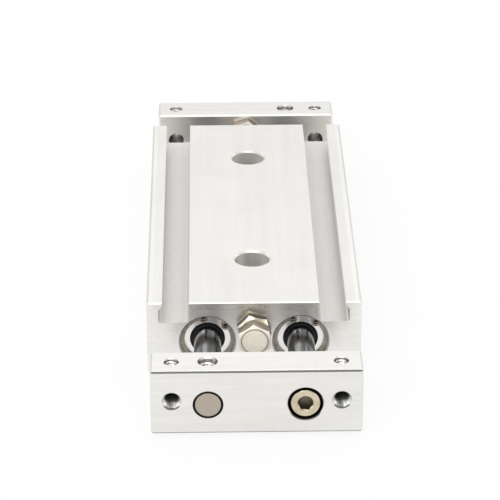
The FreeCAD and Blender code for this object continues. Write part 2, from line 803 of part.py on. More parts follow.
def make_clamp_screw(label, x, y):
    """Set screw from a plate's underside whose point sits in the rod's air groove."""
    body = new_body(label)
    radius = d.clamp_diameter / 2 - d.thread_clearance
    point = d.clamp_point_diameter / 2
    end = rod_in_plate - rod_radius + d.air_ring_depth - d.clamp_recess - d.side_gap
    shoulder = end - d.clamp_point_length
    edge = d.cover_edge
    turn_profile(body, "Screw", [
        (0.0, 0.0), (radius - edge, 0.0), (radius, edge), (radius, shoulder - edge),
        (radius - edge, shoulder), (point, shoulder), (point, end), (0.0, end),
    ], "XZ_Plane")
    sketch = new_sketch(body, "Socket", "XY_Plane")
    hexagon(sketch, d.clamp_socket_flats)
    add_feature(body, "Pocket", "SocketPocket", sketch, True, Length=d.clamp_socket_depth,
                Reversed=True)
    place(body, x, y, d.plate_ground_gap + d.clamp_recess)
    return body


def make_rod_screw(label, x, y, turn, roll):
    """Socket-head screw that draws a rod into its plate."""
    body = new_body(label)
    head, radius = d.screw_head_diameter / 2, d.screw_diameter / 2
    edge = d.screw_head_edge
    end = d.screw_head_height + d.screw_length
    turn_profile(body, "Screw", [
        (0.0, 0.0), (head - edge, 0.0), (head, edge), (head, d.screw_head_height),
        (radius, d.screw_head_height), (radius, end - edge), (radius - edge, end), (0.0, end),
    ])
    sketch = new_sketch(body, "Socket", "XZ_Plane")
    hexagon(sketch, d.screw_socket_flats)
    add_feature(body, "Pocket", "SocketPocket", sketch, True, Length=d.screw_socket_depth)
    place(body, x, y, d.rod_height, turn, roll)
    return body


def make_piston(label, x):
    """Piston sleeve with two lip-seal grooves and a magnet groove."""
    body = new_body(label)
    inner = rod_radius + d.piston_rod_fit
    outer = d.bore_diameter / 2 - d.piston_clearance
    length, edge = d.piston_length, d.piston_edge
    seal_floor = outer - d.lip_seal_depth
    first = d.lip_seal_from_end
    magnet_floor = outer - d.magnet_depth
    magnet_start = length / 2 - d.magnet_width / 2
    half = [
        (inner, as_size(0.0)), (outer - edge, as_size(0.0)), (outer, edge), (outer, first),
        (seal_floor, first), (seal_floor, first + d.lip_seal_width),
        (outer, first + d.lip_seal_width), (outer, magnet_start), (magnet_floor, magnet_start),
    ]
    turn_profile(body, "Piston", mirrored_along(half, length))
    place(body, x, -(length / 2), d.rod_height)


def make_piston_seal(label, x, rear):
    """Lip seal in a piston groove, its lip towards the pressure side."""
    body = new_body(label)
    outer = d.bore_diameter / 2 - d.running_clearance
    inner = d.bore_diameter / 2 - d.piston_clearance - d.lip_seal_depth + d.ring_clearance
    start = d.side_gap
    end = d.lip_seal_width - d.side_gap
    middle = (inner + outer) / 2
    turn_profile(body, "LipSeal", [
        (inner, start), (middle - d.lip_seal_notch / 3, start), (middle, start + d.lip_seal_notch),
        (middle + d.lip_seal_notch / 3, start), (outer, start),
        (outer - d.piston_clearance * 2, end), (inner, end),
    ])
    near = -(d.piston_length / 2) + d.lip_seal_from_end
    if rear:
        place(body, x, -near, d.rod_height, 180.0)
    else:
        place(body, x, near, d.rod_height)


def make_magnet(label, x):
    """Magnet ring that the slot sensors read."""
    body = new_body(label)
    inner = d.bore_diameter / 2 - d.piston_clearance - d.magnet_depth + d.ring_clearance
    outer = inner + d.magnet_wall
    width = d.magnet_width - d.side_gap * 2
    turn_profile(body, "Magnet", [(inner, 0.0), (outer, 0.0), (outer, width), (inner, width)])
    place(body, x, -(width / 2), d.rod_height)


def make_rod_clip(label, x, y, turn):
    """Open ring that holds a piston in its place on the rod."""
    body = new_body(label)
    inner = rod_radius - d.rod_clip_depth + d.ring_clearance
    ring_with_gap(body, inner + d.rod_clip_band, inner, ROD_CLIP_GAP_HALF_ANGLE,
                  d.rod_clip_thickness)
    place(body, x, y, d.rod_height, turn, 90.0)


# ---------------------------------------------------------------- assembly
ENDS = {"front": (housing_front, 1, 0.0), "rear": (housing_rear, -1, 180.0)}
SIDES = {"left": -rod_side, "right": rod_side}

clips = []
for end, (face, inward, turn) in ENDS.items():
    for side, x in SIDES.items():
        name = f"{end}_{side}"
        seat = face + cover_face * inward
        make_cover(f"{name}_cover", x, seat, turn)
        make_bush(f"{name}_guide_bush", x, seat, turn)
        make_rod_seal(f"{name}_rod_seal", x, seat, turn)
        make_bumper(f"{name}_bumper", x, seat, turn)
        clip_face = face + (d.clip_groove_from_face + d.clip_clearance) * inward
        clips.append(make_clip(f"{name}_circlip", x, clip_face, turn, CLIP_ROLLS[end, side]))
        ring = torus(f"{name}_cover_oring",
                     d.seat_diameter / 2 - d.cover_clearance - d.cover_ring_section / 2
                     - d.ring_clearance / 2, d.cover_ring_section - d.ring_clearance)
        place_ring(ring, x, face + (cover_face + d.cover_ring_from_face) * inward, d.rod_height)
group("circlips", clips)

plug_x = d.housing_width / 2 - d.plug_seat_depth + d.plug_ball_diameter / 2
group("passage_plugs", [
    make_ball(f"{end}_passage_plug", plug_x, housing_front + along, d.plug_ball_diameter)
    for end, along in (("front", passage_front), ("rear", passage_rear))
])
group("lock_nuts", [
    make_nut("front_lock_nut", housing_front - d.nut_thickness, 0.0, NUT_ROLLS["front"]),
    make_nut("rear_lock_nut", housing_rear + d.nut_thickness, 180.0, NUT_ROLLS["rear"]),
])
make_stop_bolt("front_stop_bolt", housing_front - d.front_stop_out, 0.0,
               STOP_BOLT_ROLLS["front"])
make_stop_bolt("rear_stop_bolt", housing_rear + d.rear_stop_out, 180.0,
               STOP_BOLT_ROLLS["rear"])

make_plate("front_plate", -plate_outer, 0.0)
make_plate("rear_plate", plate_outer, 180.0)
make_rod("left_rod", -rod_side, -plate_outer, 0.0)
make_rod("right_rod", rod_side, plate_outer, 180.0)
screw_face = plate_outer - d.screw_sink_depth + d.screw_head_height
group("rod_screws", [
    make_rod_screw("front_rod_screw", rod_side, -screw_face, 0.0, ROD_SCREW_ROLLS["front"]),
    make_rod_screw("rear_rod_screw", -rod_side, screw_face, 180.0, ROD_SCREW_ROLLS["rear"]),
])
ball_y = rod_length - plate_outer - d.air_ball_depth
group("air_way_plugs", [
    make_ball(f"{side}_air_way_plug", SIDES[side], ball_y * sign, d.air_ball_diameter)
    for side, sign in (("left", 1), ("right", -1))
])
clamp_y = plate_outer - d.plate_thickness / 2
group("clamp_screws", [
    make_clamp_screw("front_clamp_screw", -rod_side, -clamp_y),
    make_clamp_screw("rear_clamp_screw", rod_side, clamp_y),
])

for side, x in SIDES.items():
    make_piston(f"{side}_piston", x)
    make_magnet(f"{side}_magnet", x)
    make_piston_seal(f"{side}_piston_front_seal", x, rear=False)
    make_piston_seal(f"{side}_piston_rear_seal", x, rear=True)
    clip_y = d.piston_length / 2 + d.side_gap / 2
    make_rod_clip(f"{side}_piston_front_clip", x, -(clip_y + d.rod_clip_thickness), 0.0)
    make_rod_clip(f"{side}_piston_rear_clip", x, clip_y + d.rod_clip_thickness, 180.0)

for name, sign in (("front", -1), ("rear", 1)):
    for place_name, depth in (("outer", d.plate_ring_from_face),
                              ("inner", d.plate_thickness - d.plate_ring_from_face)):
        ring = torus(f"{name}_plate_{place_name}_oring",
                     rod_radius + d.running_clearance + d.plate_ring_section / 2,
                     d.plate_ring_section - d.ring_clearance)
        place_ring(ring, rod_side * sign, (plate_outer - depth) * sign, d.rod_height)

# ---------------------------------------------------------------- check and export
doc.recompute()
for thing in doc.Objects:
    if {"Invalid", "Error"} & set(thing.State):
        raise RuntimeError(f"{thing.Label} did not compute: {thing.State}")
os.makedirs("parts", exist_ok=True)
for thing in sub_parts:
    if thing.Shape.isNull() or not thing.Shape.isValid() or thing.Shape.Volume <= 0:
        raise RuntimeError(f"{thing.Label} has no valid solid")
for thing in sub_parts:
    thing.Shape.exportStep(f"parts/{thing.Label}.step")
    print(f"{thing.Label}: {len(thing.Shape.Solids)} solid, {thing.Shape.Volume:.1f} mm3")
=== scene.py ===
"""Dressing of a guided pneumatic cylinder: finishes, threads, screws and studio for its CAD frame.

Lengths that a class names are in millimetres, and meshes are made in metres. Pieces take their
places from the boxes of the CAD nodes, so they follow the frame.
"""
import json
import logging
import math
from dataclasses import dataclass
from enum import Enum
from functools import reduce
from typing import Callable, Dict, Optional, Sequence, Tuple, Union

import bpy
from mathutils import Matrix, Vector

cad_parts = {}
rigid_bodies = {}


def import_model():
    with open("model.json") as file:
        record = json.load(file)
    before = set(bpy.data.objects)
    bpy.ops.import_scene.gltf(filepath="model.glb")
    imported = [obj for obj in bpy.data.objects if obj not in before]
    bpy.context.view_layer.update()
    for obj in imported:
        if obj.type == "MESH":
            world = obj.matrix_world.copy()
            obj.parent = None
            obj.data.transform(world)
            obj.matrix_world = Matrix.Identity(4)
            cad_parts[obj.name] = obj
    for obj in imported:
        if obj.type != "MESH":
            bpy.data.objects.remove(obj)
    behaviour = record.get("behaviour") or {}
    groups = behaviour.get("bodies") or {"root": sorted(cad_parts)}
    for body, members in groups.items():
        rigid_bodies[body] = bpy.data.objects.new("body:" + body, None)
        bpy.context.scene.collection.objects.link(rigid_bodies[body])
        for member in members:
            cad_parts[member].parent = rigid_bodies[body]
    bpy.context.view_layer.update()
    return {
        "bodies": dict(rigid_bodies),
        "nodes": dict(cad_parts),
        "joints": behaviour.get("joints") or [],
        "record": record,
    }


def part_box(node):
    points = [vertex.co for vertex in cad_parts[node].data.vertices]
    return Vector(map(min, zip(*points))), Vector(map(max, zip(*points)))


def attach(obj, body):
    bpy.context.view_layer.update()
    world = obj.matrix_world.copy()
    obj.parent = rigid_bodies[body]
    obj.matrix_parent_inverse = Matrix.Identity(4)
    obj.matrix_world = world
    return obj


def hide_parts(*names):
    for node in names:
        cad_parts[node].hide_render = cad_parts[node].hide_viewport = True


LOG = logging.getLogger("guided_cylinder")
MM = 0.001
Colour = Tuple[float, float, float]
Place = Tuple[float, float, float]
Point = Tuple[float, float]
Span = Tuple[float, float]      # where a value starts and ends
Piece, Material, Socket = bpy.types.Object, bpy.types.Material, bpy.types.NodeSocket


class Body(str, Enum):
    """Rigid bodies of the cylinder."""

    HOUSING = "housing"
    FRAME = "slide_frame"
    FRONT_STOP = "front_stop"
    REAR_STOP = "rear_stop"


class End(Enum):
    """The two ends of the cylinder: a value is the way along Y that the end faces."""

    FRONT = -1
    REAR = 1


class Axis(Enum):
    """Directions of the part: across its rods, along them, and up."""

    ACROSS = "x"
    ALONG = "y"
    UP = "z"


# ---- shader tools
def operator(operation: str, swapped: bool = False) -> Callable[..., "Wire"]:
    """Make a method of Wire that adds a Math node.

    Args:
        operation: The node's operation.
        swapped: Whether the other value comes first.

    Returns:
        The method.
    """
    def method(wire: "Wire", other: "Operand" = 0.0) -> "Wire":
        """Add the node."""
        inputs = {0: other, 1: wire} if swapped else {0: wire, 1: other}
        return wire.graph.value("ShaderNodeMath", inputs, operation=operation)
    return method


class Wire:
    """A value socket that takes part in arithmetic."""

    __add__, __radd__ = operator("ADD"), operator("ADD", swapped=True)
    __sub__, __rsub__ = operator("SUBTRACT"), operator("SUBTRACT", swapped=True)
    __mul__, __rmul__ = operator("MULTIPLY"), operator("MULTIPLY", swapped=True)
    __abs__, root, sine = operator("ABSOLUTE"), operator("SQRT"), operator("SINE")
    most = operator("MAXIMUM")

    def __init__(self, graph: "Graph", socket: Socket) -> None:
        """Keep the graph and the output socket."""
        self.graph = graph
        self.socket = socket

    def ramp(self, low: float, high: float) -> "Wire":
        """Run smoothly from 0 at low to 1 at high."""
        return self.graph.value("ShaderNodeMapRange", {
            "Value": self, "From Min": low, "From Max": high}, interpolation_type="SMOOTHSTEP")


Inputs = Dict[Union[str, int], object]      # values, sockets or wires by socket name or number
Operand = Union[Wire, float, int]
Tint = Union[Colour, Socket]
Triple = Tuple[Wire, Wire, Wire]


@dataclass(frozen=True)
class Pattern:
    """Noise, by its spots per mm along X, Y and Z, its octaves and the finer ones' weight."""

    spots: Place
    octaves: float = 2.0
    weight: float = 0.5


class Graph:
    """Node tree of a material or of the world."""

    def __init__(self, tree: bpy.types.NodeTree, output: str) -> None:
        """Empty a tree and give it an output node.

        Args:
            tree: The tree.
            output: Type name of the node.
        """
        self.tree = tree
        self.tree.nodes.clear()
        self.output = self.node(output)

    def feed(self, target: Socket, value: object) -> None:
        """Link or set an input.

        Args:
            target: The input socket.
            value: A wire, a socket, or the input's own value; a colour may leave out its alpha.
        """
        source = value.socket if isinstance(value, Wire) else value
        if isinstance(source, Socket):
            self.tree.links.new(source, target)
        elif target.type == "RGBA" and len(source) == 3:
            target.default_value = (*source, 1.0)
        else:
            target.default_value = source

    def node(self, kind: str, inputs: Optional[Inputs] = None,
             **settings: object) -> bpy.types.Node:
        """Add a node.

        Args:
            kind: Type name of the node.
            inputs: What its sockets get.
            settings: Properties, set before the sockets.

        Returns:
            The new node.
        """
        node = self.tree.nodes.new(kind)
        for key, value in settings.items():
            setattr(node, key, value)
        for key, value in (inputs or {}).items():
            self.feed(node.inputs[key], value)
        return node

    def value(self, kind: str, inputs: Inputs, **settings: object) -> Wire:
        """Add a node and take the value that it gives first."""
        return Wire(self, self.node(kind, inputs, **settings).outputs[0])

    def split(self, vector: Socket) -> Triple:
        """X, Y and Z of a vector."""
        node = self.node("ShaderNodeSeparateXYZ", {0: vector})
        return tuple(Wire(self, output) for output in node.outputs)

    def place(self) -> Triple:
        """Object coordinates in millimetres."""
        coordinates = self.node("ShaderNodeTexCoord").outputs["Object"]
        return tuple(way * (1 / MM) for way in self.split(coordinates))

    def facing(self) -> Triple:
        """Surface normal without its signs: 1 where a face is square to X, Y or Z."""
        normal = self.node("ShaderNodeNewGeometry").outputs["True Normal"]
        return tuple(abs(way) for way in self.split(normal))

    def vector(self, x: Operand, y: Operand, z: Operand) -> Socket:
        """Join three values into a vector."""
        return self.node("ShaderNodeCombineXYZ", {0: x, 1: y, 2: z}).outputs[0]

    def noise(self, pattern: Pattern, place: Triple) -> Wire:
        """Noise from 0 to 1.

        Args:
            pattern: Its pattern.
            place: Place in mm.

        Returns:
            The noise value.
        """
        where = self.vector(*(way * spots for way, spots in zip(place, pattern.spots)))
        return self.value("ShaderNodeTexNoise", {
            "Vector": where, "Scale": 1.0, "Detail": pattern.octaves, "Roughness": pattern.weight})

    def blend(self, factor: Operand, first: Tint, second: Tint, mode: str = "MIX") -> Socket:
        """Mix two colours, where the factor is the share of the second."""
        node = self.node("ShaderNodeMix", {0: factor, 6: first, 7: second},
                         data_type="RGBA", blend_type=mode)
        return node.outputs[2]

    def choose(self, factor: Operand, first: Operand, second: Operand) -> Wire:
        """Mix two values, where the factor is the share of the second."""
        return self.value("ShaderNodeMix", {0: factor, 2: first, 3: second}, data_type="FLOAT")

    def close(self, shader: Socket) -> None:
        """Lead a shader to the output node, in place of an earlier one."""
        self.feed(self.output.inputs["Surface"], shader)


class Finish(Graph):
    """Node tree of one material, with a Principled shader as its surface."""

    def __init__(self, name: str) -> None:
        """Make the material.

        Args:
            name: Name of the material.
        """
        self.material = bpy.data.materials.new(name)
        self.material.use_nodes = True
        super().__init__(self.material.node_tree, "ShaderNodeOutputMaterial")
        self.shader = self.node("ShaderNodeBsdfPrincipled")
        self.close(self.shader.outputs[0])

    def set(self, **sockets: object) -> None:
        """Feed sockets of the Principled shader, named with underscores for spaces."""
        for key, value in sockets.items():
            self.feed(self.shader.inputs[key.replace("_", " ").title()], value)

    def relief(self, height: Wire, depth: float) -> None:
        """Bump the surface by a height from 0 to 1, where 1 is a depth in mm."""
        bump = self.node("ShaderNodeBump", {"Distance": depth * MM, "Height": height})
        self.feed(self.shader.inputs["Normal"], bump.outputs[0])


# ---- finishes
SQUARE: Span = (0.8, 0.95)      # facing values between which a face becomes square to a way
SLANTED: Span = (0.3, 0.5)      # facing values between which a face becomes a chamfer


@dataclass(frozen=True)
class PaintedBore:
    """A round hole whose walls carry a painted colour in place of the light and shade in them.

    A bore along the rods is centred at X and Z, and an upright one at X and Y. Where flanks is
    set, only its left and right walls take the painted colour. A depth holds the two Y at which
    the walls start to take it and have it, and a streak is the half width of a painted dark line
    at the bottom, as shade.
    """

    axis: Axis
    centre: Point
    radius: float
    shade: float = 1.0
    both_sides: bool = False
    both_ends: bool = False
    flanks: bool = False
    depth: Optional[Span] = None
    streak: float = 0.0

    wall: float = 0.06
    flank_from: Span = (0.55, 0.85)
    streak_core: float = 0.4
    streak_fall: Span = (0.0, -0.5)
    streak_shade: float = 0.8

    def mask(self, x: Wire, y: Wire, z: Wire) -> Wire:
        """Work out how far a place takes the bore's painted colour.

        Args:
            x: Place across the rods.
            y: Place along the rods.
            z: Height.

        Returns:
            The shade inside the bore and nought outside.
        """
        across = abs(x) if self.both_sides else x
        other = z if self.axis is Axis.ALONG else (abs(y) if self.both_ends else y)
        first, second = across - self.centre[0], other - self.centre[1]
        radius = (first * first + second * second).root()
        inside = radius.ramp(self.radius, self.radius - self.wall) * self.shade
        if self.flanks:
            inside = inside * abs(first).ramp(*(self.radius * share for share in self.flank_from))
        if self.depth is not None:
            deep = y.ramp(*self.depth)
            if self.streak:
                line = abs(first).ramp(self.streak, self.streak * self.streak_core)
                deep = deep.most(line * second.ramp(*self.streak_fall) * self.streak_shade)
            inside = inside * deep
        return inside


PaintedBores = Tuple[PaintedBore, ...]


def in_painted_bores(bores: PaintedBores, place: Triple) -> Wire:
    """How far a place takes the painted colour of any of some bores."""
    return reduce(Wire.most, (bore.mask(*place) for bore in bores))


@dataclass(frozen=True)
class ExtrusionSkinAndPaintedLight:
    """Duller skin of an extrusion below its machined top, and painted light and shade on its slots,
    rails and sawn ends.

    The walls of the slots carry painted shade and the rails a painted highlight, and painted
    light on the sawn ends grows towards their foot and sides, by the share in the last field.
    """

    top: float = 23.1
    top_fade: float = 0.2
    off_ends: Span = (0.8, 0.6)
    shade: float = 0.93
    mottle: Pattern = Pattern((1.1, 1.1, 1.1), 3.0, 0.65)
    mottle_tint: float = 0.24
    roughness: float = 0.12
    # painted shade on the slot walls, a painted highlight on the rails, painted light on the ends
    slots_within: Span = (30.0, 29.0)
    slot_painted_shade: float = 0.72
    rails_beyond: Span = (29.6, 30.0)
    rail_painted_light: float = 0.07
    end_foot: Span = (19.0, 7.0)
    end_sides: Span = (21.0, 26.0)
    end_painted_light: float = 0.26

    def mask(self, place: Triple, facing: Triple) -> Wire:
        """Where the skin is: below the machined top, and not on the sawn ends."""
        return place[2].ramp(self.top, self.top - self.top_fade) * facing[1].ramp(*self.off_ends)

    def tint(self, graph: Graph, place: Triple, facing: Triple, skin: Wire) -> Wire:
        """Work out the skin's shade, with the painted shade and light of slots, rails and ends.

        Args:
            graph: The material's nodes.
            place: The place.
            facing: The surface normal without its signs.
            skin: Where the skin is.

        Returns:
            What the metal's own shade is multiplied by.
        """
        sideways, across, up = facing
        side, height = abs(place[0]), place[2]
        mottle = (graph.noise(self.mottle, place) - 0.5) * self.mottle_tint
        dull = 1.0 - skin * (1.0 - self.shade - mottle)
        # painted shade on slot walls, painted highlight on rail tops, painted light at the ends'
        # foot and sides
        slot = sideways.ramp(*SQUARE) * side.ramp(*self.slots_within)
        rail = side.ramp(*self.rails_beyond) * up.ramp(*SQUARE)
        painted_light_share = height.ramp(*self.end_foot).most(side.ramp(*self.end_sides)) - 0.5
        return (dull * (1.0 - slot * (1.0 - self.slot_painted_shade)) * (1.0 + rail * self.rail_painted_light)
                * (1.0 + across.ramp(*SQUARE) * painted_light_share * self.end_painted_light))


@dataclass(frozen=True)
class AnodisedAluminium:
    """Clear anodised aluminium with fine machining lines.

    Upward faces have lines along one direction, and faces across the rods have lines along X.
    Chamfers further from the middle than the painted edge limit carry painted shade and more
    roughness. A tint is how far a pattern lightens and darkens the colour, and bores take a
    painted colour in place of the light and shade in them.
    """

    name: str
    colour: Colour = (0.800, 0.787, 0.755)
    roughness: float = 0.34
    metallic: float = 0.85
    grain: Axis = Axis.ALONG
    line_tint: float = 0.05
    blotch_tint: float = 0.04
    end_metallic: float = 0.85
    end_roughness: float = 0.0
    skin: Optional[ExtrusionSkinAndPaintedLight] = None
    painted_edge_from: Optional[float] = None
    bores: PaintedBores = ()
    bore_painted_colour: Colour = (0.03, 0.028, 0.024)

    lines_across: Pattern = Pattern((0.02, 0.5, 0.5), 5.0, 0.74)
    lines_along: Pattern = Pattern((0.4, 0.012, 0.4), 5.0, 0.74)
    blotches: Pattern = Pattern((0.05, 0.05, 0.09))
    grit: Pattern = Pattern((9.0, 9.0, 9.0), 2.0, 0.6)
    turn_of_lines: Span = (0.6, 0.8)
    grit_tint: float = 0.015
    line_roughness: float = 0.18
    blotch_roughness: float = 0.06
    edge_fade: float = 0.1
    edge_painted_shade: float = 0.8
    edge_roughness: float = 0.2
    bore_roughness: float = 0.1
    line_relief: float = 0.7
    line_depth: float = 0.004

    def material(self) -> Material:
        """Build the material.

        Returns:
            The material.
        """
        graph = Finish(self.name)
        place, facing = graph.place(), graph.facing()
        _, across, up = facing
        lines = graph.noise(self.lines_across, place)
        if self.grain is Axis.ALONG:
            along = graph.noise(self.lines_along, place)
            lines = graph.choose(across.ramp(*self.turn_of_lines), along, lines)
        blotch, grit = graph.noise(self.blotches, place), graph.noise(self.grit, place)
        shade = (1.0 + (lines - 0.5) * (2 * self.line_tint)
                 + (blotch - 0.5) * (2 * self.blotch_tint) + (grit - 0.5) * (2 * self.grit_tint))
        end = across.ramp(*SQUARE)
        rough = (self.roughness + (lines - 0.5) * self.line_roughness
                 + (blotch - 0.5) * self.blotch_roughness + end * self.end_roughness)
        if self.skin is not None:
            skin = self.skin.mask(place, facing)
            shade = shade * self.skin.tint(graph, place, facing, skin)
            rough = rough + skin * self.skin.roughness
        # painted shade on the outer chamfers, in place of their dark reflection
        if self.painted_edge_from is not None:
            near, far = self.painted_edge_from - self.edge_fade, self.painted_edge_from + self.edge_fade
            painted_edge = abs(place[1]).ramp(near, far) * across.ramp(*SLANTED) * up.ramp(*SLANTED)
            shade = shade * (1.0 - painted_edge * self.edge_painted_shade)
            rough = rough + painted_edge * self.edge_roughness
        colour = graph.blend(1.0, self.colour, graph.vector(shade, shade, shade), "MULTIPLY")
        # painted light and shade in the bores
        if self.bores:
            inside = in_painted_bores(self.bores, place)
            colour = graph.blend(inside, colour, self.bore_painted_colour)
            rough = rough + inside * self.bore_roughness
        graph.set(base_color=colour, roughness=rough,
                  metallic=graph.choose(end, self.metallic, self.end_metallic))
        relief = lines * self.line_relief + grit * (1 - self.line_relief)
        graph.relief(relief, self.line_depth)
        return graph.material


@dataclass(frozen=True)
class GroundRod:
    """Hard-chromed ground rod with turned steel bare ends and painted shade on their edge."""

    name: str
    colour: Colour = (0.255, 0.255, 0.27)
    end_colour: Colour = (0.46, 0.41, 0.345)
    edge_shade_colour: Colour = (0.05, 0.048, 0.045)
    roughness: float = 0.18
    end_roughness: float = 0.5
    end_metallic: float = 0.75
    smeared: float = 0.8
    pitted: float = 0.88
    depth: float = 0.0012

    rings: Pattern = Pattern((0.2, 22.0, 0.2))
    smears: Pattern = Pattern((0.6, 0.12, 0.6))
    specks: Pattern = Pattern((6.0, 6.0, 6.0), 3.0, 0.6)
    end_on: Span = (0.85, 0.95)
    ring_roughness: float = 0.08
    speck_roughness: float = 0.1

    def material(self) -> Material:
        """Build the material.

        Returns:
            The material.
        """
        graph = Finish(self.name)
        place = graph.place()
        across = graph.facing()[1]
        end = across.ramp(*self.end_on)
        rings, smear, speck = (
            graph.noise(pattern, place) for pattern in (self.rings, self.smears, self.specks))
        side = graph.blend(smear, self.colour, tuple(part * self.smeared for part in self.colour))
        bare = graph.blend(speck, self.end_colour,
                           tuple(part * self.pitted for part in self.end_colour))
        # painted shade on the chamfer round the rod's ends
        edged = graph.blend(across.ramp(*SLANTED), side, self.edge_shade_colour)
        rough = graph.choose(end, self.roughness + (rings - 0.5) * self.ring_roughness,
                             self.end_roughness + (speck - 0.5) * self.speck_roughness)
        graph.set(base_color=graph.blend(end, edged, bare), roughness=rough,
                  metallic=graph.choose(end, 1.0, self.end_metallic))
        graph.relief(graph.choose(end, rings, speck), self.depth)
        return graph.material


@dataclass(frozen=True)
class PlatedSteel:
    """Plated steel whose turned faces carry faint rings round an axis along Y.

    The side colour is painted shade on the faces that run along the axis, for their dark
    reflections, and a painted dark line of shade runs round a turned face at the given radius.
    Bores take painted shade.
    """

    name: str
    colour: Colour
    tint: Colour
    roughness: float = 0.28
    axis: Point = (0.0, 0.0)
    face_metallic: float = 1.0
    face_roughness: float = 0.12
    side_shade_colour: Optional[Colour] = None
    painted_line_radius: Optional[float] = None
    bores: PaintedBores = ()
    bore_painted_colour: Colour = (0.075, 0.062, 0.042)
    painted_line_colour: Colour = (0.14, 0.11, 0.075)

    wobbles: Pattern = Pattern((0.8, 0.8, 0.8))
    clouds: Pattern = Pattern((0.5, 0.5, 0.5), 3.0, 0.6)
    specks: Pattern = Pattern((5.0, 5.0, 5.0), 3.0, 0.6)
    ring_pitch: float = 0.22
    ring_wobble: float = 2.0
    ring_relief: float = 0.6
    cloudy: Span = (0.35, 0.7)
    face_on: Span = (0.7, 0.9)
    side_on: Span = (0.5, 0.15)
    line_on: Span = (0.5, 0.7)
    line_width: Span = (0.32, 0.12)
    line_strength: float = 0.75
    speck_roughness: float = 0.16
    depth: float = 0.003

    def material(self) -> Material:
        """Build the material.

        Returns:
            The material.
        """
        graph = Finish(self.name)
        place = graph.place()
        across = graph.facing()[1]
        face = across.ramp(*self.face_on)
        dx, dz = place[0] - self.axis[0], place[2] - self.axis[1]
        radius = (dx * dx + dz * dz).root()
        wobble, cloud, speck = (
            graph.noise(pattern, place) for pattern in (self.wobbles, self.clouds, self.specks))
        turns = radius * (2 * math.pi / self.ring_pitch) + wobble * self.ring_wobble
        rings = turns.sine() * 0.5 + 0.5
        colour = graph.blend(cloud.ramp(*self.cloudy), self.colour, self.tint)
        # painted shade on the flats, a painted line of shade round the turned face, and shade in
        # bores
        if self.side_shade_colour is not None:
            colour = graph.blend(across.ramp(*self.side_on), colour, self.side_shade_colour)
        if self.painted_line_radius is not None:
            line = abs(radius - self.painted_line_radius).ramp(*self.line_width) * across.ramp(*self.line_on)
            colour = graph.blend(line * self.line_strength, colour, self.painted_line_colour)
        if self.bores:
            colour = graph.blend(in_painted_bores(self.bores, place), colour, self.bore_painted_colour)
        rough = self.roughness + (speck - 0.5) * self.speck_roughness + face * self.face_roughness
        graph.set(base_color=colour, roughness=rough,
                  metallic=graph.choose(face, 1.0, self.face_metallic))
        relief = rings * face * self.ring_relief + speck * (1 - self.ring_relief)
        graph.relief(relief, self.depth)
        return graph.material


@dataclass(frozen=True)
class Elastomer:
    """Moulded rubber or urethane with a faint surface bloom."""

    name: str
    colour: Colour
    roughness: float = 0.55

    blooms: Pattern = Pattern((0.7, 0.7, 0.7), 3.0, 0.6)
    specks: Pattern = Pattern((7.0, 7.0, 7.0), 2.0, 0.6)
    bloomed: Span = (0.45, 0.8)
    bloom_strength: float = 0.5
    bloom_gain: float = 1.5
    bloom_lift: float = 0.01
    bloom_roughness: float = 0.2
    depth: float = 0.004

    def material(self) -> Material:
        """Build the material.

        Returns:
            The material.
        """
        graph = Finish(self.name)
        place = graph.place()
        bloom, speck = graph.noise(self.blooms, place), graph.noise(self.specks, place)
        pale = tuple(min(1.0, part * self.bloom_gain + self.bloom_lift) for part in self.colour)
        share = bloom.ramp(*self.bloomed) * self.bloom_strength
        graph.set(base_color=graph.blend(share, self.colour, pale), metallic=0.0,
                  roughness=self.roughness + (bloom - 0.5) * self.bloom_roughness)
        graph.relief(speck, self.depth)
        return graph.material


# ---- modelling tools
ORIGIN = (0.0, 0.0, 0.0)
OVERSHOOT = 1.0                 # mm, how far a cutting tool reaches past what it cuts
SMOOTH_BELOW = 30.0             # degrees between faces, below which a thread is smooth
HEX_SIDES = 6
CONE_SIDES = 128
HEX_STEP = 30.0                 # degrees from a corner of a hexagon to the middle of a flat
THREAD_BASE = 0.98              # width of a thread ridge's base, as a share of the pitch
TRIANGLE_DEPTH = 1.5            # depth of a three-cornered circle, in radii


def activate(piece: Piece) -> None:
    """Make one object the only selected and active one.

    Args:
        piece: The object.
    """
    bpy.ops.object.select_all(action="DESELECT")
    piece.select_set(True)
    bpy.context.view_layer.objects.active = piece


def edit_all(piece: Piece) -> None:
    """Open one object in edit mode with its whole mesh selected.

    Args:
        piece: The object.
    """
    activate(piece)
    bpy.ops.object.mode_set(mode="EDIT")
    bpy.ops.mesh.select_all(action="SELECT")


def rename(piece: Piece, name: str) -> None:
    """Name an object and its mesh."""
    piece.name = name
    piece.data.name = name


def settle(name: str) -> Piece:
    """Name the object just added and move its place into its mesh.

    Args:
        name: Its name.

    Returns:
        The object, at the origin, unturned and unscaled.
    """
    bpy.ops.object.transform_apply(location=True, rotation=True, scale=True)
    rename(bpy.context.object, name)
    return bpy.context.object


def turned(name: str, radii: Span, ends: Span, axis: Point, sides: int) -> Piece:
    """A cylinder or a truncated cone along Y.

    Args:
        name: Name of the object.
        radii: Radii at its ends; a corner points up where the sides are few.
        ends: Lower and upper Y of its faces.
        axis: X and Z of its axis.
        sides: Number of sides.

    Returns:
        The object.
    """
    bpy.ops.mesh.primitive_cone_add(
        vertices=sides, radius1=radii[1] * MM, radius2=radii[0] * MM,
        depth=(ends[1] - ends[0]) * MM, rotation=(math.pi / 2, 0.0, 0.0),
        location=(axis[0] * MM, (ends[0] + ends[1]) / 2 * MM, axis[1] * MM))
    return settle(name)


def cylinder(name: str, radius: float, ends: Span, axis: Point, sides: int = 96) -> Piece:
    """A cylinder along Y."""
    return turned(name, (radius, radius), ends, axis, sides)


